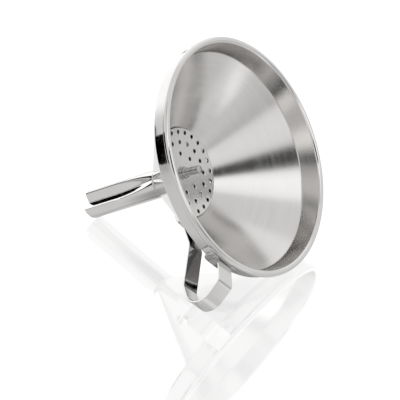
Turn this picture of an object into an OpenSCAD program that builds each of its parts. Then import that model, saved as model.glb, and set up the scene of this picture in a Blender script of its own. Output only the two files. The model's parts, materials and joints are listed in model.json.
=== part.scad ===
// Stainless steel canning funnel with a lift-out strainer, lying on its skirt, spout tip and handle.
// Millimetres. The funnel is drawn on its own axis, mouth up, and the last step lays it on the table.

/* [Cone and rim] */
// Outside diameter of the rim
rim_d = 130; // [120:1:140]
// Thickness of the body's sheet
sheet_t = 0.8; // [0.7:0.05:1]
// Depth of the nearly straight collar between the lip and the cone
collar_depth = 11; // [10:0.5:13]
// Slope of the cone: radius lost for each millimetre of depth
cone_slope = 1.035; // [1:0.005:1.08]
// Width of the rolled lip, seen from the mouth
lip_w = 3.7; // [3.4:0.1:4.2]
// Depth of the folded skirt behind the lip
skirt_depth = 8.7; // [8:0.1:9.5]

/* [Spout] */
// Outside diameter of the spout tube
spout_d = 16; // [15:0.5:17]
// Wall of the spout tube
spout_wall = 0.8; // [0.7:0.05:1]
// Distance from the rim's widest circle to the spout's tip
spout_reach = 117; // [112:1:122]
// Distance from the spout's axis to the bottom of the air groove
groove_floor_r = 2.7; // [2.5:0.1:4]
// Direction that the air groove faces, turned from straight down
groove_azimuth = -127; // [-140:1:-115]
// Half of the air groove's angle
groove_half_angle = 51; // [45:1:55]

/* [Handle] */
// Width of the handle's strip
strip_w = 10.2; // [9:0.2:12]
// Thickness of the handle's strip
strip_t = 1; // [0.8:0.1:1.2]
// Direction that the handle faces, turned from straight down
handle_azimuth = -50.2; // [-54:0.2:-47]
// Width of the pads that are welded to the body
pad_w = 18.5; // [16:0.5:20]
// Inside radius of the bend that rests on the table
loop_bend_r = 8.6; // [7:0.2:10]

/* [Strainer] */
// Diameter of the strainer's plate
strainer_d = 49.8; // [48:0.2:51]
// Depth of the plate's shallow dish
dish_depth = 1.7; // [1:0.1:2.5]
// Diameter of the punched holes
hole_d = 2.2; // [1.8:0.1:2.6]
// How far the loose plate leans in the cone
strainer_lean = 3.75; // [0:0.25:4]
// Diameter of the lifting pin
pin_d = 4.6; // [4:0.1:5]
// Height of the pin's end over the plate's edge
pin_top = 10.5; // [9:0.5:14]

/* [Hidden] */
$fn = 144;

STEEL = [0.80, 0.80, 0.79];
BRUSHED = [0.72, 0.71, 0.70];
WELD = [0.66, 0.65, 0.63];

// Body: radii and heights on the funnel's axis, with height 0 at the rim's widest circle
rim_r = rim_d / 2;
cone_angle = atan(cone_slope);
sheet_across = sheet_t / cos(cone_angle);
collar_r = rim_r - lip_w - 1.57;
lip_top = 0.9;
lip_bend_r = 1.2;
skirt_r = rim_r - 1.3;
spout_r = spout_d / 2;
bore_r = spout_r - spout_wall;
cone_end = -collar_depth - (collar_r - bore_r) / cone_slope;
seam_drop = 1.2;
seam_rise = 0.9;
bevel_r = bore_r + 0.25;
bend_steps = 6;

// Stance: the skirt's edge and the spout's tip both touch the table
tilt = atan((skirt_r - spout_r) / (spout_reach - skirt_depth));
lip_round = lip_bend_r + sheet_t / 2;
lip_centre = [rim_r - lip_round, lip_top - lip_round];
mouth_z = spout_reach * sin(tilt) + spout_r * cos(tilt);

// Handle: the loop's bend is placed so that the strip's lower edge touches the table too
bend_centre_z = -12;
bend_outer_r = loop_bend_r + strip_t;
bend_lean = norm([cos(handle_azimuth) * cos(tilt), sin(tilt)]);
edge_drop = strip_w / 2 * sin(-handle_azimuth) * cos(tilt);
bend_centre_r = (mouth_z + bend_centre_z * sin(tilt) - bend_outer_r * bend_lean - edge_drop)
    / (cos(handle_azimuth) * cos(tilt));
strip_across = strip_t / 2 / cos(cone_angle);
front_pad_z = -2.9;
rear_pad_z = -32.4;
pad_h = 7.7;
pad_corner_r = 3.6;
weld_r = 1.6;
weld_h = 0.25;
weld_gap = 0.05;
weld_spread = 7;

// Origin: under the middle of the part's box
tip_x = -spout_reach * cos(tilt) - spout_r * sin(tilt);
rim_x = lip_centre[1] * cos(tilt) + lip_centre[0] * sin(tilt) + lip_round;
loop_y = (bend_centre_r + bend_outer_r) * sin(handle_azimuth) - strip_w / 2 * cos(handle_azimuth);
mouth_x = -(tip_x + rim_x) / 2;
mouth_y = -(loop_y + rim_r) / 2;

// Strainer: plate radius, its seat in the cone, and three rings of holes as [radius, count, first angle]
plate_r = strainer_d / 2;
plate_t = 0.8;
seat_gap = 0.3;
lean_azimuth = 15;
lean_shift = plate_r * sin(strainer_lean) * cone_slope;
seat_z = -collar_depth + (plate_r * cos(strainer_lean) + seat_gap - collar_r) / cone_slope;
hole_rings = [[22.6, 24, 14], [17, 16, 27], [10.7, 8, 28]];
shank_r = 1.6;
shank_gap = 0.03;
washer_r = 3.7;
washer_t = 1;
shoulder_r = 3.1;
shoulder_h = 1.4;
pin_chamfer = 0.35;
rivet_r = 2.8;
rivet_h = 0.9;

// Groove: a straight V near the tip, and the round run-out of a V-edged wheel
groove_wheel_r = 111;
groove_turn = -95;
groove_tall = 9;
// Pressing the groove pulls the tube in a little on both sides of it
pulled_half_angle = 42;
pulled_in = 0.3;
pulled_chord = spout_r * [cos(pulled_half_angle), sin(pulled_half_angle)];
pulled_rise = spout_r - pulled_in - pulled_chord[0];
pulled_r = (pow(pulled_chord[1], 2) + pow(pulled_rise, 2)) / (2 * pulled_rise);

// Radius of the cone's inner face at a height below the collar
function cone_r(z) = collar_r + (z + collar_depth) * cone_slope;

// Direction of a step from a to b
function heading(a, b) = (b - a) / norm(b - a);

// Points of a bend of radius r at corner b, on the way from a to c
function bend(a, b, c, r) =
    let (u = heading(b, a), v = heading(b, c), half = acos(u * v) / 2, back = r / tan(half))
    let (start = b + u * back, stop = b + v * back, mid = b + (u + v) / norm(u + v) * r / sin(half))
    let (from = start - mid, turn = 180 - 2 * half, side = cross(from, stop - start) > 0 ? 1 : -1)
    [for (i = [0:bend_steps]) let (g = side * turn * i / bend_steps)
        mid + [from[0] * cos(g) - from[1] * sin(g), from[0] * sin(g) + from[1] * cos(g)]];

function flat(p) = [p[0], p[1]];

// A path through corners given as [x, y, bend radius], with each inner corner rounded
function rounded(c) = [
    flat(c[0]),
    for (i = [1:len(c) - 2]) each bend(flat(c[i - 1]), flat(c[i]), flat(c[i + 1]), c[i][2]),
    flat(c[len(c) - 1])
];

// The path moved sideways by d, with its corners mitred
function beside(p, d) = [for (i = [0:len(p) - 1])
    let (u = heading(p[max(i - 1, 0)], p[max(i, 1)]))
    let (v = heading(p[min(i, len(p) - 2)], p[min(i + 1, len(p) - 1)]))
    let (n = [-u[1] - v[1], u[0] + v[0]] / norm(u + v), spread = norm(u + v) / 2)
    p[i] + n * d / spread];

// Outline of a sheet of thickness t bent along a path
function sheet(p, t) = let (a = beside(p, t / 2), b = beside(p, -t / 2))
    concat(a, [for (i = [len(b) - 1:-1:0]) b[i]]);

body_path = rounded([
    [cone_r(cone_end - 2) + sheet_across / 2, cone_end - 2, 0],
    [collar_r + sheet_across / 2, -collar_depth, 2],
    [rim_r - lip_w + 0.7, lip_top - sheet_t / 2, lip_bend_r],
    [rim_r - sheet_t / 2, lip_top - sheet_t / 2, lip_bend_r],
    [rim_r - sheet_t / 2, -1.6, 0.5],
    [skirt_r - sheet_t / 2, -2.4, 0.5],
    [skirt_r - sheet_t / 2, -skirt_depth, 0]
]);

strip_path = rounded([
    [skirt_r + strip_t / 2, -5.5, 0],
    [skirt_r + strip_t / 2, -3.4, 1.4],
    [bend_centre_r - 0.9, 0.4, 3.5],
    [bend_centre_r + 17.2, -13.1, loop_bend_r + strip_t / 2],
    [bend_centre_r - 2.5, -23.7, 5],
    [51, -25.7, 6],
    [cone_r(rear_pad_z) + sheet_across + strip_across, rear_pad_z, 5],
    [cone_r(rear_pad_z - 3) + sheet_across + strip_across, rear_pad_z - 3, 0]
]);

dish_path = [for (i = [0:8]) let (r = i * plate_r / 8)
    [r, plate_t / 2 - dish_depth * (1 - pow(r / plate_r, 2))]];

// Lays the funnel on the table
module laid() {
    translate([mouth_x, mouth_y, mouth_z]) rotate([0, 90 - tilt, 0]) children();
}

// Turns the loose plate to its lean in the cone
module seated() {
    rotate([0, 0, lean_azimuth]) translate([-lean_shift, 0, seat_z])
        rotate([0, strainer_lean, 0]) rotate([0, 0, -lean_azimuth]) children();
}

module ring(r_in, r_out, h) {
    difference() {
        cylinder(r = r_out, h = h);
        translate([0, 0, -1]) cylinder(r = r_in, h = h + 2);
    }
}

// The groove's cutter, with its edge floor_r from the tube's axis on the +X side before it is turned
module groove_cutter(floor_r) {
    half = groove_tall * tan(groove_half_angle);
    vee = [[0, 0], [groove_tall, half], [groove_tall, -half]];
    run = groove_turn + spout_reach;
    wheel_r = groove_wheel_r - floor_r + groove_floor_r;
    rotate([0, 0, groove_azimuth]) {
        translate([floor_r, 0, -spout_reach - 1]) linear_extrude(run + 1) polygon(vee);
        translate([floor_r + wheel_r, 0, groove_turn]) rotate([90, 0, 0])
            rotate_extrude($fn = 360) translate([wheel_r, 0]) mirror([1, 0]) polygon(vee);
    }
}

// The outside of the tube or its bore, pulled in where the groove is
module pulled_round(r, h) {
    intersection() {
        cylinder(r = r, h = h);
        rotate([0, 0, groove_azimuth]) translate([spout_r - pulled_in - pulled_r, 0, 0])
            cylinder(r = pulled_r + r - spout_r, h = h);
    }
}

// A shell on the skirt's outer face, between two distances from it
module skirt_shell(from, to) {
    translate([0, 0, -skirt_depth - 4]) ring(skirt_r + from, skirt_r + to, skirt_depth + 4);
}

// A shell on the cone's outer face, between two distances from it
module cone_shell(from, to) {
    low = rear_pad_z - 15;
    high = rear_pad_z + 9;
    inner = sheet_across + from / cos(cone_angle);
    outer = sheet_across + to / cos(cone_angle);
    translate([0, 0, low]) difference() {
        cylinder(r1 = cone_r(low) + outer, r2 = cone_r(high) + outer, h = high - low);
        cylinder(r1 = cone_r(low) + inner, r2 = cone_r(high) + inner, h = high - low);
    }
}

// Stands a flat outline on the body where the handle is, with its x across the strip, its y along
// the body's face and its 0 at radius r and height z; slope is the face's angle from the axis
module facing(r, z, slope) {
    rotate([0, 0, handle_azimuth]) translate([r, 0, z]) rotate([0, slope, 0])
        rotate([90, 0, 90]) linear_extrude(12, center = true) children();
}

module on_skirt() {
    facing(skirt_r, front_pad_z, 0) children();
}

module on_cone() {
    facing(cone_r(rear_pad_z) + sheet_across, rear_pad_z, cone_angle) children();
}

// A pad's outline, from y = 0 down, with its two far corners rounded
module pad_outline() {
    w = pad_w / 2;
    r = pad_corner_r;
    translate([-w, r - pad_h]) square([pad_w, pad_h - r]);
    translate([r - w, -pad_h]) square([pad_w - 2 * r, pad_h]);
    for (x = [r - w, w - r]) translate([x, r - pad_h]) circle(r);
}

module funnel_body() {
    color(BRUSHED) laid() difference() {
        rotate_extrude() polygon(sheet(body_path, sheet_t));
        translate([0, 0, cone_end - 10]) cylinder(r = 2 * spout_r, h = 10);
    }
}

module spout_tube() {
    inset = spout_wall / sin(groove_half_angle);
    color(STEEL) laid() difference() {
        union() {
            translate([0, 0, -spout_reach]) pulled_round(spout_r, spout_reach + cone_end - seam_drop);
            translate([0, 0, cone_end - seam_drop]) cylinder(r1 = spout_r, r2 = bevel_r, h = seam_drop);
        }
        groove_cutter(groove_floor_r);
        difference() {
            translate([0, 0, -spout_reach - 1]) pulled_round(bore_r, spout_reach + 2);
            groove_cutter(groove_floor_r - inset);
        }
    }
}

module spout_weld_seam() {
    color(WELD) laid() rotate_extrude() polygon([
        [spout_r, cone_end - seam_drop],
        [bevel_r, cone_end],
        [bore_r + sheet_across, cone_end],
        [bore_r + sheet_across + seam_rise * cone_slope, cone_end + seam_rise]
    ]);
}

module handle_strip() {
    color(STEEL) laid() {
        rotate([0, 0, handle_azimuth]) rotate([90, 0, 0])
            linear_extrude(strip_w, center = true) polygon(sheet(strip_path, strip_t));
        intersection() {
            skirt_shell(0, strip_t);
            on_skirt() pad_outline();
        }
        intersection() {
            cone_shell(0, strip_t);
            on_cone() pad_outline();
        }
    }
}

module handle_spot_welds() {
    color(WELD) laid() for (side = [-1, 1]) {
        intersection() {
            skirt_shell(strip_t + weld_gap, strip_t + weld_h);
            on_skirt() translate([side * weld_spread, -pad_h / 2]) circle(weld_r);
        }
        intersection() {
            cone_shell(strip_t + weld_gap, strip_t + weld_h);
            on_cone() translate([side * weld_spread, -pad_h / 2]) circle(weld_r);
        }
    }
}

module strainer_plate() {
    color(STEEL) laid() seated() difference() {
        rotate_extrude() polygon(concat(
            [for (p = dish_path) p + [0, plate_t / 2]],
            [for (i = [8:-1:0]) dish_path[i] - [0, plate_t / 2]]));
        translate([0, 0, -5]) cylinder(r = shank_r + shank_gap, h = 10);
        for (row = hole_rings, i = [0:row[1] - 1]) rotate([0, 0, row[2] + i * 360 / row[1]])
            translate([row[0], 0, -5]) cylinder(r = hole_d / 2, h = 10, $fn = 24);
    }
}

// The plate is nearly flat in the middle, so the washers sit on flat faces just clear of it
plate_top = plate_t - dish_depth + dish_depth * pow(washer_r / plate_r, 2);
plate_bottom = -dish_depth;

module strainer_pin() {
    shoulder_z = plate_top + washer_t;
    rear_z = plate_bottom - washer_t;
    stem_r = pin_d / 2;
    color(STEEL) laid() seated() rotate_extrude() polygon([
        [0, rear_z - rivet_h],
        [rivet_r - 0.7, rear_z - rivet_h],
        [rivet_r, rear_z],
        [shank_r, rear_z],
        [shank_r, shoulder_z],
        [shoulder_r, shoulder_z],
        [shoulder_r, shoulder_z + shoulder_h],
        [stem_r, shoulder_z + shoulder_h],
        [stem_r, pin_top - pin_chamfer],
        [stem_r - pin_chamfer, pin_top],
        [0, pin_top]
    ]);
}

module pin_front_washer() {
    color(STEEL) laid() seated() translate([0, 0, plate_top]) ring(shank_r + shank_gap, washer_r, washer_t);
}

module pin_rear_washer() {
    color(STEEL) laid() seated() translate([0, 0, plate_bottom - washer_t])
        ring(shank_r + shank_gap, washer_r, washer_t);
}

funnel_body();
spout_tube();
spout_weld_seam();
handle_strip();
handle_spot_welds();
strainer_plate();
strainer_pin();
pin_front_washer();
pin_rear_washer();
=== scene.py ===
"""A stainless steel canning funnel with a lift-out strainer.

It lies on the edge of its skirt, the tip of its spout and its handle.
"""

import json
from math import acos, asin, atan, atan2, ceil, cos, hypot, pi, radians, sin, sqrt, tan, tau

import bpy
from mathutils import Matrix, Vector

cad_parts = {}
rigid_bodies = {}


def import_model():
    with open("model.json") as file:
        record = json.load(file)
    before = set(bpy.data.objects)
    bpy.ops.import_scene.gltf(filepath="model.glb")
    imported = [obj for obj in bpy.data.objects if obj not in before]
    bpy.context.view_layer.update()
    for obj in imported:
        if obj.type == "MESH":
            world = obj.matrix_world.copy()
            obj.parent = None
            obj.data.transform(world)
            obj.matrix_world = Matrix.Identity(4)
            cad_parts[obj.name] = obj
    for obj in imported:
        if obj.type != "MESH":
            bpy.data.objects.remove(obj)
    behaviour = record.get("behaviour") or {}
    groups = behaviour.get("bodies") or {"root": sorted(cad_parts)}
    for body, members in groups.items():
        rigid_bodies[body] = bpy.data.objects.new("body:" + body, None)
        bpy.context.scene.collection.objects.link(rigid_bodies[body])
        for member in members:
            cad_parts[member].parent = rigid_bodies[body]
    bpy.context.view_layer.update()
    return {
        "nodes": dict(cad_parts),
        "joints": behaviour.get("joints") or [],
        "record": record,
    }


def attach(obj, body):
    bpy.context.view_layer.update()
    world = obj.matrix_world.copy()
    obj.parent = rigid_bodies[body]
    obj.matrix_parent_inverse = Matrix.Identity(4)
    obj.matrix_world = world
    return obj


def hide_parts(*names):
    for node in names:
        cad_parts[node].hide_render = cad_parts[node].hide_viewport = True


for leftover in list(bpy.data.objects):
    bpy.data.objects.remove(leftover)
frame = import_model()

MM = 0.001

# ---------------------------------------------------------------- where the funnel lies
# Its pieces are shaped on its own axis, mouth up, in millimetres, and laid down at the end.
AXIS = Vector(frame["joints"][0]["axis"]).normalized()
SPOUT_MOUNT = frame["record"]["mounts"][0]
MOUNT_TO_MOUTH = 90
TILT = asin(AXIS.z)
MOUTH = Vector(SPOUT_MOUNT["pos_m"]) + AXIS * MOUNT_TO_MOUTH * MM
LAID = Matrix.Translation(MOUTH) @ Matrix.Rotation(pi / 2 - TILT, 4, "Y")

# ---------------------------------------------------------------- sizes, in millimetres
RIM_R, SHEET = 65, 0.8
COLLAR_DEPTH, CONE_SLOPE = 11, 1.035
COLLAR_BEND, LIP_INSET = 2, 0.7
LIP_W, LIP_TOP, LIP_BEND, SKIRT_DEPTH = 3.7, 0.9, 1.2, 8.7
STEP_FROM, STEP_TO, STEP_BEND = 1.6, 2.4, 0.5
CONE_ANGLE = atan(CONE_SLOPE)
SHEET_ACROSS = SHEET / cos(CONE_ANGLE)
COLLAR_R = RIM_R - LIP_W - 1.57
SKIRT_R = RIM_R - 1.3
SPOUT_R, SPOUT_WALL, SPOUT_REACH = 8, 0.8, 117
CONE_END = -COLLAR_DEPTH - (COLLAR_R - SPOUT_R + SPOUT_WALL) / CONE_SLOPE
GROOVE_FLOOR, GROOVE_WHEEL, GROOVE_TURN = 2.7, 111, -95
GROOVE_AZIMUTH, GROOVE_HALF_ANGLE = radians(-127), radians(51)
PULLED_HALF_ANGLE, PULLED_IN = radians(42), 0.3
GROOVE_SOFT, EDGE_BLEND, LOWER_EDGE_MORE, LOWER_EDGE_FROM = radians(7), 3.2, 1.6, radians(25)
STRIP_W, STRIP_T, HANDLE_AZIMUTH = 10.2, 1, radians(-50.2)
PAD_W, PAD_H, PAD_CORNER = 18.5, 7.7, 3.6
FRONT_PAD_Z, REAR_PAD_Z, PAD_SINK = -2.9, -32.4, 0.15
LOOP_R, LOOP_BEND = 78.427, 8.6
PLATE_R, PLATE_T, DISH = 24.9, 0.8, 1.7
# Each ring of holes: its radius, how many and the first one's angle in degrees
HOLE_R, HOLE_RINGS = 1.1, ((22.6, 24, 14), (17, 16, 27), (10.7, 8, 28))
LEAN, LEAN_AZIMUTH, SEAT_GAP = radians(3.75), radians(15), 0.3
SHANK_R, SHANK_GAP, WASHER_R, WASHER_T = 1.6, 0.03, 3.7, 1
SHOULDER_R, SHOULDER_H, RIVET_R, RIVET_H = 3.1, 1.4, 2.8, 0.9
PIN_R, PIN_TOP = 2.3, 10.5

# How fine the meshes are and how round their cut edges
BODY_STEPS, LONGEST_STEP, SPOUT_STEPS, SPOUT_RINGS, PIN_STEPS = 256, 2.5, 240, 56, 96
PAD_CUTS, PLATE_CUTS, EDGE_SEGMENTS, CUT_EDGE_ANGLE = 18, 26, 3, radians(50)
SHEET_EDGE, STRIP_EDGE, HOLE_EDGE, WASHER_EDGE = 0.2, 0.25, 0.22, 0.22
# Heights of the bump, in metres
GRAIN_DEPTH, RIPPLE_DEPTH = 0.00006, 0.0003

PULLED_RISE = SPOUT_R - PULLED_IN - SPOUT_R * cos(PULLED_HALF_ANGLE)
PULLED_R = ((SPOUT_R * sin(PULLED_HALF_ANGLE)) ** 2 + PULLED_RISE**2) / (2 * PULLED_RISE)
PULLED_AT = SPOUT_R - PULLED_IN - PULLED_R
SEAT_Z = -COLLAR_DEPTH + (PLATE_R * cos(LEAN) + SEAT_GAP - COLLAR_R) / CONE_SLOPE
SEATED = (
    Matrix.Rotation(LEAN_AZIMUTH, 4, "Z")
    @ Matrix.Translation((-PLATE_R * sin(LEAN) * CONE_SLOPE * MM, 0, SEAT_Z * MM))
    @ Matrix.Rotation(LEAN, 4, "Y")
    @ Matrix.Rotation(-LEAN_AZIMUTH, 4, "Z")
)


def cone_r(z):
    """Radius of the cone's inner face at a height."""
    return COLLAR_R + (z + COLLAR_DEPTH) * CONE_SLOPE


# ---------------------------------------------------------------- modelling helpers
def rounded(corners, steps=8):
    """A path through corners given as (x, y, bend radius), with its inner corners rounded."""
    path = [Vector(corners[0][:2])]
    for before, corner, after in zip(corners, corners[1:], corners[2:]):
        b, r = Vector(corner[:2]), corner[2]
        u = (Vector(before[:2]) - b).normalized()
        v = (Vector(after[:2]) - b).normalized()
        if r == 0:
            path.append(b)
            continue
        half = acos(max(-1, min(1, u.dot(v)))) / 2
        start, middle = b + u * r / tan(half), b + (u + v).normalized() * r / sin(half)
        spoke = start - middle
        turn = (pi - 2 * half) * (1 if u.cross(v) < 0 else -1)
        for i in range(steps + 1):
            path.append(middle + Matrix.Rotation(turn * i / steps, 2) @ spoke)
    return path + [Vector(corners[-1][:2])]


def stepped(path, longest):
    """The path with its long straights cut to short steps, so that their light stays even."""
    points = [path[0]]
    for a, b in zip(path, path[1:]):
        cuts = ceil((b - a).length / longest)
        points += [a.lerp(b, i / cuts) for i in range(1, cuts + 1)]
    return points


def edit():
    """Opens the piece for editing with all of it selected."""
    bpy.ops.object.mode_set(mode="EDIT")
    bpy.ops.mesh.select_mode(type="VERT")
    bpy.ops.mesh.select_all(action="SELECT")


def deselect():
    bpy.ops.object.select_all(action="DESELECT")


def only(piece):
    """Makes the piece the only one selected, and the active one."""
    deselect()
    piece.select_set(True)
    bpy.context.view_layer.objects.active = piece


def named(name):
    """Gives the new piece its name and returns it."""
    piece = bpy.context.object
    piece.name = piece.data.name = name
    return piece


def wire(name, points):
    """A chain of edges through points given in millimetres, pulled out one vertex at a time."""
    deselect()
    bpy.ops.mesh.primitive_plane_add(size=MM)
    piece = named(name)
    edit()
    bpy.ops.mesh.merge(type="CENTER")
    bpy.ops.transform.translate(value=Vector(points[0]) * MM)
    for a, b in zip(points, points[1:]):
        step = (Vector(b) - Vector(a)) * MM
        bpy.ops.mesh.extrude_region_move(TRANSFORM_OT_translate={"value": step})
    return piece


def close_up():
    """Merges what coincides, turns the faces outwards and leaves edit mode."""
    bpy.ops.mesh.select_all(action="SELECT")
    bpy.ops.mesh.remove_doubles(threshold=1e-6)
    bpy.ops.mesh.normals_make_consistent(inside=False)
    bpy.ops.object.mode_set(mode="OBJECT")


def turned(name, outline, steps):
    """An outline of (radius, height) spun round the funnel's axis."""
    piece = wire(name, [(p[0], 0, p[1]) for p in outline])
    bpy.ops.mesh.select_all(action="SELECT")
    bpy.ops.mesh.spin(steps=steps, angle=tau, center=(0, 0, 0), axis=(0, 0, 1))
    close_up()
    return piece


def finished(piece, kind, **settings):
    """Adds a modifier with its settings and applies it."""
    modifier = piece.modifiers.new(kind, kind)
    for key, value in settings.items():
        setattr(modifier, key, value)
    bpy.context.view_layer.objects.active = piece
    bpy.ops.object.modifier_apply(modifier=modifier.name)


def walled(piece, thickness, offset, round_edge):
    """Gives a sheet its thickness and softens its cut edges."""
    finished(piece, "SOLIDIFY", thickness=thickness * MM, offset=offset, use_even_offset=True)
    bevel = {"width": round_edge * MM, "limit_method": "ANGLE", "angle_limit": CUT_EDGE_ANGLE}
    finished(piece, "BEVEL", segments=EDGE_SEGMENTS, **bevel)


def smooth(piece, angle=radians(35)):
    """Shades the piece smooth up to an angle between its faces."""
    only(piece)
    bpy.ops.object.shade_smooth_by_angle(angle=angle)
    finished(piece, "WEIGHTED_NORMAL", keep_sharp=True)


def placed(piece, matrix):
    """Puts the piece where it belongs, with its place in its mesh."""
    piece.matrix_world = matrix
    only(piece)
    bpy.ops.object.transform_apply(location=True, rotation=True, scale=True)


def joined(pieces):
    deselect()
    for piece in pieces:
        piece.select_set(True)
    bpy.context.view_layer.objects.active = pieces[0]
    bpy.ops.object.join()
    return pieces[0]


# ---------------------------------------------------------------- shader helpers
class Socket:
    """A node's output whose operators add the Math nodes."""

    def __init__(self, graph, socket):
        self.graph, self.socket = graph, socket

    def maths(self, operation, other):
        return self.graph.node("ShaderNodeMath", {"operation": operation}, self, other)[0]

    def __add__(self, other):
        return self.maths("ADD", other)

    def __sub__(self, other):
        return self.maths("SUBTRACT", other)

    def __rsub__(self, other):
        return self.graph.node("ShaderNodeMath", {"operation": "SUBTRACT"}, other, self)[0]

    def __mul__(self, other):
        return self.maths("MULTIPLY", other)

    def __pow__(self, other):
        return self.maths("POWER", other)

    def between(self, low, high, to_low, to_high):
        """Goes smoothly from to_low to to_high as the value goes from low to high."""
        settings = {"interpolation_type": "SMOOTHSTEP"}
        return self.graph.node("ShaderNodeMapRange", settings, self, low, high, to_low, to_high)[0]


class Graph:
    """A node tree that is written as expressions."""

    def __init__(self, owner):
        owner.use_nodes = True
        self.tree = owner.node_tree
        self.tree.nodes.clear()

    def node(self, kind, settings=None, *values, **named_values):
        node = self.tree.nodes.new(kind)
        for key, value in (settings or {}).items():
            setattr(node, key, value)
        for key, value in [*enumerate(values), *named_values.items()]:
            target = node.inputs[key if isinstance(key, int) else key.replace("_", " ")]
            if isinstance(value, Socket):
                self.tree.links.new(value.socket, target)
            elif value is not None:
                target.default_value = value
        return [Socket(self, s) for s in node.outputs if s.enabled]

    def noise(self, place, scale, detail, roughness):
        settings = {"Vector": place, "Scale": scale, "Detail": detail, "Roughness": roughness}
        return self.node("ShaderNodeTexNoise", None, **settings)[0]

    def own_place(self):
        """Place on the funnel's own axis, in metres: x, y and z."""
        place = self.node("ShaderNodeTexCoord")[3]
        axis_down = self.node(
            "ShaderNodeMapping",
            {"vector_type": "TEXTURE"},
            place,
            tuple(LAID.translation),
            tuple(LAID.to_euler()),
        )[0]
        return self.node("ShaderNodeSeparateXYZ", None, axis_down)

    def steel(self, colour, roughness, normal):
        shader = self.node(
            "ShaderNodeBsdfPrincipled",
            None,
            Base_Color=colour,
            Roughness=roughness,
            Metallic=1.0,
            Normal=normal,
        )
        self.node("ShaderNodeOutputMaterial", None, shader[0])


def tone(value, warmth):
    """A steel colour: a grey, a little warmer."""
    return (value * (1 + warmth), value, value * (1 - warmth), 1)


def grey_between(graph, factor, dark, light):
    """A colour between two steel colours."""
    ramp = graph.tree.nodes.new("ShaderNodeValToRGB")
    ramp.color_ramp.elements[0].color = dark
    ramp.color_ramp.elements[1].color = light
    graph.tree.links.new(factor.socket, ramp.inputs[0])
    return Socket(graph, ramp.outputs[0])


def material(name):
    made = bpy.data.materials.new(name)
    return made, Graph(made)


def ring_noise(graph, place, across, along, detail):
    """Noise in rings round the axis: fine across them, long along them."""
    x, y, z = place
    radius = (x * x + y * y) ** 0.5
    azimuth = y.maths("ARCTAN2", x)
    spot = graph.node(
        "ShaderNodeCombineXYZ", None, radius * across, azimuth * along, z * across
    )[0]
    return graph.noise(spot, 1.0, detail, 0.6)


def bumped(graph, height, strength, depth):
    return graph.node("ShaderNodeBump", None, Strength=strength, Distance=depth, Height=height)[0]


def brushed_steel(name, value, roughness, grain):
    """Steel brushed in rings round the axis."""
    made, g = material(name)
    place = g.own_place()
    fine = ring_noise(g, place, 1500, 1.1, 3.0)
    broad = ring_noise(g, place, 260, 1.4, 2.0)
    dark, light = tone(value * 0.9, 0.022), tone(value * 1.08, 0.014)
    g.steel(
        grey_between(g, fine * 0.5 + broad * 0.5, dark, light),
        (fine * 0.1 + (roughness - 0.05)) + (broad - 0.5) * 0.05,
        bumped(g, fine, grain, GRAIN_DEPTH),
    )
    return made


def polished_steel(name, value, roughness, ripple):
    """Smooth steel with faint smudges."""
    made, g = material(name)
    place = g.node("ShaderNodeTexCoord")[3]
    smudge = g.noise(place, 90.0, 4.0, 0.6)
    scuff = g.noise(place, 900.0, 2.0, 0.5)
    g.steel(
        grey_between(g, smudge, tone(value * 0.95, 0.016), tone(value * 1.03, 0.01)),
        smudge.between(0.35, 0.8, roughness, roughness + 0.07) + scuff * 0.02,
        bumped(g, smudge, ripple, RIPPLE_DEPTH),
    )
    return made


BRUSHED = brushed_steel("brushed_body", value=0.72, roughness=0.19, grain=0.3)
COLLAR_FINISH = brushed_steel("brushed_collar", value=0.7, roughness=0.14, grain=0.02)
POLISHED = polished_steel("polished_body", value=0.76, roughness=0.04, ripple=0.01)
SPOUT_FINISH = polished_steel("polished_spout_finish", value=0.8, roughness=0.04, ripple=0.01)
HANDLE_FINISH = polished_steel("polished_handle_finish", value=0.76, roughness=0.06, ripple=0.02)
STRAINER_FINISH = polished_steel("satin_strainer_finish", value=0.74, roughness=0.2, ripple=0.1)
PIN_FINISH = polished_steel("turned_pin_finish", value=0.52, roughness=0.1, ripple=0.05)
WELD_FINISH = polished_steel("weld_finish", value=0.6, roughness=0.3, ripple=0.5)


# ---------------------------------------------------------------- funnel body and spout
def make_body():
    """The cone, collar, lip and skirt, turned from the middle line of their sheet."""
    path = rounded(
        [
            (cone_r(CONE_END) + SHEET_ACROSS / 2, CONE_END, 0),
            (COLLAR_R + SHEET_ACROSS / 2, -COLLAR_DEPTH, COLLAR_BEND),
            (RIM_R - LIP_W + LIP_INSET, LIP_TOP - SHEET / 2, LIP_BEND),
            (RIM_R - SHEET / 2, LIP_TOP - SHEET / 2, LIP_BEND),
            (RIM_R - SHEET / 2, -STEP_FROM, STEP_BEND),
            (SKIRT_R - SHEET / 2, -STEP_TO, STEP_BEND),
            (SKIRT_R - SHEET / 2, -SKIRT_DEPTH, 0),
        ]
    )
    body = turned("funnel_body_skin", stepped(path, LONGEST_STEP), steps=BODY_STEPS)
    walled(body, SHEET, 0, SHEET_EDGE)
    finishes = [POLISHED, BRUSHED, COLLAR_FINISH]
    for finish in finishes:
        body.data.materials.append(finish)
    for face in body.data.polygons:
        x, y, z = face.center / MM
        facing_in = face.normal.x * x + face.normal.y * y < 0 or face.normal.z > 0.2
        if facing_in and hypot(x, y) < RIM_R - LIP_W + 0.2:
            inside = COLLAR_FINISH if z > -COLLAR_DEPTH else BRUSHED
            face.material_index = finishes.index(inside)
    smooth(body)
    placed(body, LAID)
    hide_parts("funnel_body")
    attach(body, "funnel")


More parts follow.
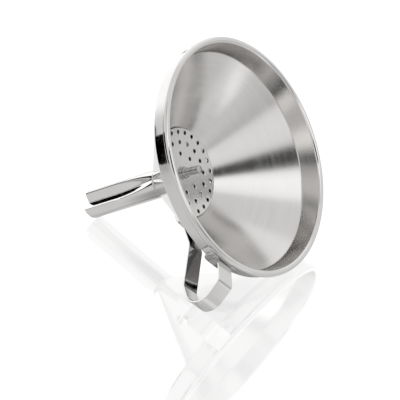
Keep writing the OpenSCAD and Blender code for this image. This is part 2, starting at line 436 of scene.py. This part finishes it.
def groove_r(azimuth, z):
    """Distance from the tube's axis to its outer face, with the pressed groove."""
    past = max(0, z - GROOVE_TURN)
    floor = GROOVE_FLOOR + GROOVE_WHEEL - sqrt(GROOVE_WHEEL**2 - past**2)
    away = (azimuth - GROOVE_AZIMUTH + pi) % tau - pi
    soft = hypot(away, GROOVE_SOFT)
    tube_r = SPOUT_R
    if abs(away) < PULLED_HALF_ANGLE:
        tube_r = sqrt(PULLED_R**2 - (PULLED_AT * sin(away)) ** 2) + PULLED_AT * cos(away)
    if soft > GROOVE_HALF_ANGLE - radians(1):
        return tube_r
    side = floor * sin(GROOVE_HALF_ANGLE) / sin(GROOVE_HALF_ANGLE - soft)
    blend = EDGE_BLEND + LOWER_EDGE_MORE * min(1, max(0, away / LOWER_EDGE_FROM))
    overlap = max(0, blend - abs(side - tube_r)) / blend
    return min(side, tube_r) - overlap**2 * blend / 4


def make_spout():
    """A tube pulled out in rings from its tip, with the groove pressed in."""
    deselect()
    tip = (0, 0, -SPOUT_REACH * MM)
    bpy.ops.mesh.primitive_circle_add(vertices=SPOUT_STEPS, radius=SPOUT_R * MM, location=tip)
    spout = named("spout_tube_skin")
    placed(spout, spout.matrix_world.copy())
    edit()
    step = (CONE_END + SPOUT_REACH) / SPOUT_RINGS
    for _ in range(SPOUT_RINGS):
        bpy.ops.mesh.extrude_region_move(TRANSFORM_OT_translate={"value": (0, 0, step * MM)})
    close_up()
    for v in spout.data.vertices:
        x, y, z = v.co / MM
        scale = groove_r(atan2(y, x), z) / SPOUT_R
        v.co.x, v.co.y = v.co.x * scale, v.co.y * scale
    walled(spout, SPOUT_WALL, -1, SHEET_EDGE)
    smooth(spout)
    placed(spout, LAID)
    spout.data.materials.append(SPOUT_FINISH)
    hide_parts("spout_tube")
    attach(spout, "funnel")


# ---------------------------------------------------------------- handle
def make_pad(name, base_r, top_z, slope):
    """A welded pad, drawn flat, cut across so that it can bend, and pressed round the body."""
    deselect()
    bpy.ops.mesh.primitive_plane_add(size=1, location=(0, -PAD_H / 2 * MM, 0))
    pad = named(name)
    pad.scale = (PAD_W * MM, PAD_H * MM, 1)
    bpy.ops.object.transform_apply(location=True, rotation=True, scale=True)
    for v in pad.data.vertices:
        v.select = v.co.y < -PAD_H * 0.9 * MM
    for part in (*pad.data.edges, *pad.data.polygons):
        part.select = False
    bpy.ops.object.mode_set(mode="EDIT")
    bpy.ops.mesh.select_mode(type="VERT")
    bpy.ops.mesh.bevel(offset=PAD_CORNER * MM, segments=8, affect="VERTICES")
    for i in range(1, PAD_CUTS):
        bpy.ops.mesh.select_all(action="SELECT")
        across = (i / PAD_CUTS - 0.5) * PAD_W * MM
        bpy.ops.mesh.bisect(plane_co=(across, 0, 0), plane_no=(1, 0, 0))
    bpy.ops.object.mode_set(mode="OBJECT")
    for v in pad.data.vertices:
        across, down = v.co.x / MM, v.co.y / MM
        z = top_z + down * cos(slope)
        r = base_r(z)
        turn = across / r
        v.co = Vector((r * cos(turn), r * sin(turn), z)) * MM
    edit()
    bpy.ops.mesh.normals_make_consistent(inside=False)
    bpy.ops.object.mode_set(mode="OBJECT")
    if sum(f.normal.x for f in pad.data.polygons) < 0:
        pad.data.flip_normals()
    walled(pad, STRIP_T, 1, STRIP_EDGE)
    return pad


def make_handle():
    """A strip bent from the pad under the lip, round the loop, to the pad on the cone."""
    strip_across = STRIP_T / 2 / cos(CONE_ANGLE)
    end = cone_r(REAR_PAD_Z) + SHEET_ACROSS + strip_across
    last = cone_r(REAR_PAD_Z - 3) + SHEET_ACROSS + strip_across
    path = rounded(
        [
            (SKIRT_R + STRIP_T / 2 - PAD_SINK, -5.5, 0),
            (SKIRT_R + STRIP_T / 2 - PAD_SINK, -3.4, 1.4),
            (LOOP_R - 0.9, 0.4, 3.5),
            (LOOP_R + 17.2, -13.1, LOOP_BEND + STRIP_T / 2),
            (LOOP_R - 2.5, -23.7, 5),
            (51, -25.7, 6),
            (end, REAR_PAD_Z, 5),
            (last - PAD_SINK, REAR_PAD_Z - 3, 0),
        ],
        steps=16,
    )
    strip = wire("handle_strip_skin", [(p[0], -STRIP_W / 2, p[1]) for p in path])
    bpy.ops.mesh.select_all(action="SELECT")
    bpy.ops.mesh.extrude_region_move(TRANSFORM_OT_translate={"value": (0, STRIP_W * MM, 0)})
    close_up()
    walled(strip, STRIP_T, 0, STRIP_EDGE)
    front = make_pad("front_pad", lambda z: SKIRT_R, FRONT_PAD_Z, 0)
    rear = make_pad("rear_pad", lambda z: cone_r(z) + SHEET_ACROSS, REAR_PAD_Z, CONE_ANGLE)
    handle = joined([strip, front, rear])
    smooth(handle, radians(40))
    placed(handle, LAID @ Matrix.Rotation(HANDLE_AZIMUTH, 4, "Z"))
    handle.data.materials.append(HANDLE_FINISH)
    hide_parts("handle_strip")
    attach(handle, "funnel")


# ---------------------------------------------------------------- strainer
def make_plate():
    """Drawn flat with its holes, rounded at every cut edge, then pressed to its dish."""
    deselect()
    bpy.ops.curve.primitive_bezier_circle_add(radius=PLATE_R * MM)
    plate = named("strainer_plate_skin")
    bpy.ops.object.mode_set(mode="EDIT")
    for ring_r, count, first in HOLE_RINGS:
        for i in range(count):
            turn = radians(first) + tau * i / count
            place = Vector((cos(turn), sin(turn), 0)) * ring_r * MM
            bpy.ops.curve.primitive_bezier_circle_add(radius=HOLE_R * MM, location=place)
    bpy.ops.curve.primitive_bezier_circle_add(radius=(SHANK_R + SHANK_GAP) * MM)
    bpy.ops.object.mode_set(mode="OBJECT")
    shape = plate.data
    shape.dimensions, shape.fill_mode = "2D", "BOTH"
    for spline in shape.splines:
        spline.resolution_u = 5
    shape.splines[0].resolution_u = 32
    shape.bevel_depth, shape.bevel_resolution = HOLE_EDGE * MM, 2
    shape.offset = -HOLE_EDGE * MM
    shape.extrude = (PLATE_T / 2 - HOLE_EDGE) * MM
    bpy.ops.object.convert(target="MESH")
    plate = bpy.context.object
    edit()
    bpy.ops.mesh.remove_doubles(threshold=1e-6)
    for i in range(1, PLATE_CUTS):
        at = (2 * i / PLATE_CUTS - 1) * PLATE_R * MM
        for way in ((1, 0, 0), (0, 1, 0)):
            bpy.ops.mesh.select_all(action="SELECT")
            bpy.ops.mesh.bisect(plane_co=Vector(way) * at, plane_no=way)
    close_up()
    for v in plate.data.vertices:
        r = hypot(v.co.x, v.co.y) / MM
        v.co.z += (PLATE_T / 2 - DISH * (1 - (r / PLATE_R) ** 2)) * MM
    smooth(plate, radians(40))
    placed(plate, LAID @ SEATED)
    plate.data.materials.clear()
    plate.data.materials.append(STRAINER_FINISH)
    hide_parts("strainer_plate")
    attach(plate, "strainer")


def make_pin():
    """The pin with its peened end, and the washers on both faces of the plate."""
    plate_top = PLATE_T - DISH + DISH * (WASHER_R / PLATE_R) ** 2
    shoulder_z = plate_top + WASHER_T
    rear_z = -DISH - WASHER_T
    pin = turned(
        "strainer_pin_skin",
        rounded(
            [
                (0, rear_z - RIVET_H, 0),
                (RIVET_R - 0.7, rear_z - RIVET_H, 0.4),
                (RIVET_R, rear_z, 0.12),
                (SHANK_R, rear_z, 0),
                (SHANK_R, shoulder_z, 0),
                (SHOULDER_R, shoulder_z, 0.1),
                (SHOULDER_R, shoulder_z + SHOULDER_H, 0.3),
                (PIN_R, shoulder_z + SHOULDER_H, 0.15),
                (PIN_R, PIN_TOP, 0.3),
                (0, PIN_TOP, 0),
            ],
            steps=3,
        ),
        steps=PIN_STEPS,
    )
    pieces = [(pin, "strainer_pin")]
    for name, low in (("pin_front_washer", plate_top), ("pin_rear_washer", rear_z)):
        inner = SHANK_R + SHANK_GAP
        middle = (inner + WASHER_R) / 2
        washer = turned(
            name + "_skin",
            rounded(
                [
                    (middle, low, 0),
                    (WASHER_R, low, 0.1),
                    (WASHER_R, low + WASHER_T, WASHER_EDGE),
                    (inner, low + WASHER_T, 0.05),
                    (inner, low, 0.05),
                    (middle, low, 0),
                ],
                steps=3,
            ),
            steps=PIN_STEPS,
        )
        pieces.append((washer, name))
    for piece, node in pieces:
        smooth(piece)
        placed(piece, LAID @ SEATED)
        piece.data.materials.append(PIN_FINISH)
        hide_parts(node)
        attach(piece, "strainer")


# ---------------------------------------------------------------- everything put together
make_body()
make_spout()
make_handle()
make_plate()
make_pin()
for node in ("spout_weld_seam", "handle_spot_welds"):
    for slot in frame["nodes"][node].material_slots:
        slot.material = WELD_FINISH

# ---------------------------------------------------------------- camera
VIEW_AZIMUTH, VIEW_ELEVATION, VIEW_ROLL = 32.66, 23.4, radians(0.47)
VIEW_DISTANCE, AIM_RIGHT, AIM_UP = 0.736437, -0.025857, -0.023466
LENS, SENSOR = 126, 36


def towards(azimuth, elevation):
    """Direction given in degrees, from +X towards +Y and up."""
    a, e = radians(azimuth), radians(elevation)
    return Vector((cos(a) * cos(e), sin(a) * cos(e), sin(e)))


ahead = -towards(VIEW_AZIMUTH - 90, VIEW_ELEVATION)
level = ahead.cross(Vector((0, 0, 1))).normalized()
upright = level.cross(ahead)
right = level * cos(VIEW_ROLL) + upright * sin(VIEW_ROLL)
up = right.cross(ahead)
eye = MOUTH + right * AIM_RIGHT + up * AIM_UP - ahead * VIEW_DISTANCE
camera = bpy.data.objects.new("camera", bpy.data.cameras.new("camera"))
bpy.context.scene.collection.objects.link(camera)
camera.data.lens, camera.data.sensor_width = LENS, SENSOR
camera.data.clip_start, camera.data.clip_end = 0.01, 50
camera.matrix_world = Matrix.Translation(eye) @ Matrix((right, up, -ahead)).transposed().to_4x4()
bpy.context.scene.camera = camera

# ---------------------------------------------------------------- floor and light
WHITE = (1, 1, 1, 1)
# The floor's glow as the camera sees it and as the metal does, and the gloss near the object
FLOOR_R, FLOOR_SEEN, FLOOR_LIGHT, FLOOR_GLOSS = 6, 1.12, 0.64, 0.35
deselect()
bpy.ops.mesh.primitive_circle_add(vertices=96, radius=FLOOR_R, fill_type="NGON")
floor = named("studio_floor")
made, g = material("floor_gloss")
seen = g.node("ShaderNodeLightPath")[0]
spot = g.node("ShaderNodeTexCoord")[3]


def patch(centre, whole_at, nothing_at, amount):
    """An amount that is whole at one distance from a place on the floor and nothing at another."""
    away = g.node("ShaderNodeVectorMath", {"operation": "DISTANCE"}, spot, centre)[0]
    return away.between(nothing_at, whole_at, 0.0, amount)


# The floor's glow that the metal sees is painted: a painted shadow under the funnel, a painted
# pool of light before its mouth and painted shade far from it
painted_shadow_under_object = patch((0.008, -0.03, 0), 0.035, 0.06, -0.5)
painted_light_before_mouth = patch((0.165, 0.036, 0), 0.015, 0.036, 0.8)
painted_shade_far_away = patch((0, 0, 0), 1.2, 0.3, -0.15)
thrown = painted_shadow_under_object + painted_light_before_mouth + FLOOR_LIGHT + painted_shade_far_away
glow = g.node("ShaderNodeEmission", None, WHITE, seen * (FLOOR_SEEN - thrown) + thrown)[0]
gloss = g.node("ShaderNodeBsdfGlossy", None, WHITE, 0.05)[0]
shine = patch((0, 0, 0), 0.22, 0.36, FLOOR_GLOSS)
surface = g.node("ShaderNodeMixShader", None, shine, glow, gloss)[0]
g.node("ShaderNodeOutputMaterial", None, surface)
floor.data.materials.append(made)


# Each card or flag: the azimuth and elevation that it stands at, its half width and how soft its
# edge is, in degrees, and how much light it adds or takes away
CARDS = (
    (-38, 57, 11, 6, 0.5),
    (-52, 38, 5.5, 4, -1.5),
    (-40, 37, 5.5, 4, -1.5),
    (-28, 38, 5.5, 4, -1.5),
    (-30, 14, 12, 8, 0.15),
    (2, 5, 6, 4, -0.9),
    (24, 0, 8, 5, -0.5),
    (15, 24, 7, 6, 0.7),
    (-71, 66, 9, 7, -0.5),
    (-60, 22, 6, 6, -0.4),
    (-146, 11, 5.5, 1, -2.5),
    (-142, 7, 6, 1, -2.5),
    (-137, 1, 6, 1, -2.5),
    (-162, 4, 12, 3, -2.4),
    (153, 14, 28, 16, 0.45),
    (92, 45, 16, 10, 0.2),
)
SKY = 0.8
world = bpy.data.worlds.new("studio")
bpy.context.scene.world = world
g = Graph(world)
way = g.node("ShaderNodeTexCoord")[0]
light = SKY
for azimuth, elevation, half_width, edge, amount in CARDS:
    centre = tuple(towards(azimuth, elevation))
    near = g.node("ShaderNodeVectorMath", {"operation": "DOT_PRODUCT"}, way, centre)[0]
    outer, inner = cos(radians(half_width + edge)), cos(radians(half_width))
    light = near.between(outer, inner, 0.0, amount) + light
seen = g.node("ShaderNodeLightPath")[0]
lit = g.node("ShaderNodeBackground", None, WHITE, light.maths("MAXIMUM", 0.0))[0]
plain = g.node("ShaderNodeBackground", None, WHITE, 1.0)[0]
around = g.node("ShaderNodeMixShader", None, seen, lit, plain)[0]
g.node("ShaderNodeOutputWorld", None, around)
bpy.context.scene.view_settings.view_transform = "Standard"
